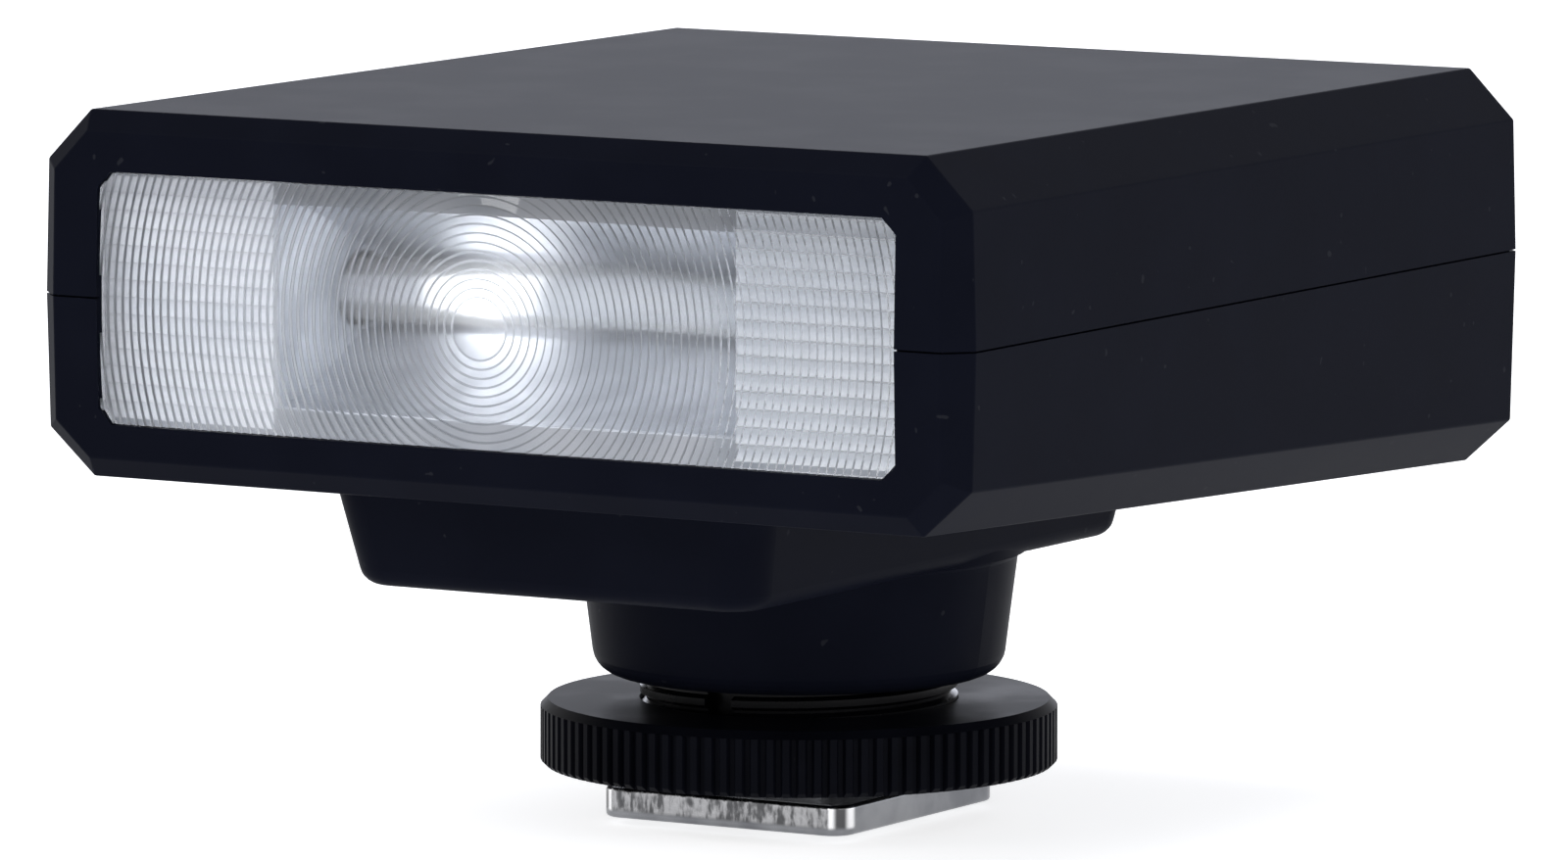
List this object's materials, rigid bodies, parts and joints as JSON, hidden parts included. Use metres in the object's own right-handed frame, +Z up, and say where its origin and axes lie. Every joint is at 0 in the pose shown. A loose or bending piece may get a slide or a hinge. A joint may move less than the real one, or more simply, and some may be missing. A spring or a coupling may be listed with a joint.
{
  "type": "camera flash",
  "caption": "Small box-shaped camera flash with a wide ribbed lens, a fixed head on a plinth, a knurled lock ring and a metal hot-shoe foot.",
  "frame": {"origin": "centre of the shoe foot's underside, on the lock ring's axis", "axes": "+Z up, the lens faces -Y, +X is the right side seen from the front"},
  "size_m": [0.0688, 0.0751, 0.0481],
  "materials": {
    "case_plastic": "fine matt textured moulding, cool black",
    "ring_plastic": "satin black, knurled rim",
    "neck_plastic": "glossy black, threaded",
    "foot_metal": "satin silver with a rough sheared edge",
    "lens_plastic": "clear moulded lens with rings and ribs",
    "frame_plastic": "light moulded plastic",
    "reflector_metal": "bright anodised sheet",
    "tube_glass": "clear glass tube",
    "silicone": "soft translucent sleeve",
    "steel": "plated steel",
    "screw_steel": "black oxide",
    "brass": "bright brass",
    "box_plastic": "plain black moulding",
    "cell_can": "printed sleeve",
    "door_plastic": "fine matt textured moulding",
    "panel_plastic": "smooth satin black",
    "button_plastic": "soft dark grey",
    "slider_plastic": "mid grey with grip grooves",
    "light_plastic": "diffusing light pipe",
    "lamp_plastic": "amber lamp lens",
    "board": "green circuit board",
    "capacitor_can": "dark sleeve",
    "seal_rubber": "black rubber",
    "ferrite": "dark ferrite",
    "winding": "enamelled copper, taped",
    "coil_tape": "yellow tape",
    "chip": "black moulded package",
    "led": "pale diffuser"
  },
  "bodies": {
    "root": {"upper_shell": "case_plastic", "lower_shell": "case_plastic", "fresnel_lens": "lens_plastic", "reflector_frame": "frame_plastic", "reflector": "reflector_metal", "flash_tube": "tube_glass", "tube_sleeves": "silicone", "tube_electrodes": "steel", "shoe_foot": "foot_metal", "shoe_neck": "neck_plastic", "contact_block": "box_plastic", "contact_spring": "steel", "contact_terminal": "brass", "battery_box": "box_plastic", "battery_contacts": "steel", "battery_cells": "cell_can", "battery_spring": "steel", "door_hinge_pin": "steel", "rear_panel": "panel_plastic", "light_pipe": "light_plastic", "ready_lamp": "lamp_plastic", "control_board": "board", "tact_switches": "chip", "slide_switch": "steel", "indicator_leds": "led", "main_board": "board", "main_capacitor": "capacitor_can", "capacitor_seal": "seal_rubber", "capacitor_leads": "steel", "transformer_core": "ferrite", "transformer_winding": "winding", "trigger_coil": "coil_tape", "power_transistor": "chip", "board_parts": "chip", "case_screws": "screw_steel", "foot_screws": "steel", "neck_screws": "screw_steel", "board_screws": "screw_steel", "panel_screws": "screw_steel"},
    "clamp_plate": {"clamp_washer": "ring_plastic"},
    "ring": {"lock_ring": "ring_plastic"},
    "pin": {"contact_pin": "brass"},
    "door": {"battery_door": "door_plastic", "door_contact": "steel", "door_spring": "steel"},
    "slider": {"power_slider": "slider_plastic"},
    "mode": {"mode_button": "button_plastic"},
    "minus": {"minus_button": "button_plastic"},
    "plus": {"plus_button": "button_plastic"},
    "test": {"test_button": "button_plastic"}
  },
  "joints": [
    {"name": "washer_slide", "type": "slide", "parent": "root", "child": "clamp_plate", "axis": [0, 0, 1], "range_m": [-0.0009, 0.0016]},
    {"name": "ring_turn", "type": "hinge", "parent": "clamp_plate", "child": "ring", "pos_m": [0, 0, 0.005], "axis": [0, 0, 1], "range_deg": [-290, 520]},
    {"name": "contact_press", "type": "slide", "parent": "root", "child": "pin", "axis": [0, 0, 1], "range_m": [0, 0.0005], "stiffness_N_per_m": 150, "springref_m": -0.0005, "deforming": ["contact_spring"]},
    {"name": "door_swing", "type": "hinge", "parent": "root", "child": "door", "pos_m": [-0.0332, 0.013, 0.0281], "axis": [0, -1, 0], "range_deg": [0, 90]},
    {"name": "power_slide", "type": "slide", "parent": "root", "child": "slider", "axis": [1, 0, 0], "range_m": [0, 0.003]},
    {"name": "mode_press", "type": "slide", "parent": "root", "child": "mode", "axis": [0, -1, 0], "range_m": [0, 0.0004], "stiffness_N_per_m": 1500},
    {"name": "minus_press", "type": "slide", "parent": "root", "child": "minus", "axis": [0, -1, 0], "range_m": [0, 0.0004], "stiffness_N_per_m": 1500},
    {"name": "plus_press", "type": "slide", "parent": "root", "child": "plus", "axis": [0, -1, 0], "range_m": [0, 0.0004], "stiffness_N_per_m": 1500},
    {"name": "test_press", "type": "slide", "parent": "root", "child": "test", "axis": [0, -1, 0], "range_m": [0, 0.0004], "stiffness_N_per_m": 1500}
  ],
  "couplings": [
    {"joint": "washer_slide", "follows": "ring_turn", "m_per_rad": 0.00017507}
  ]
}
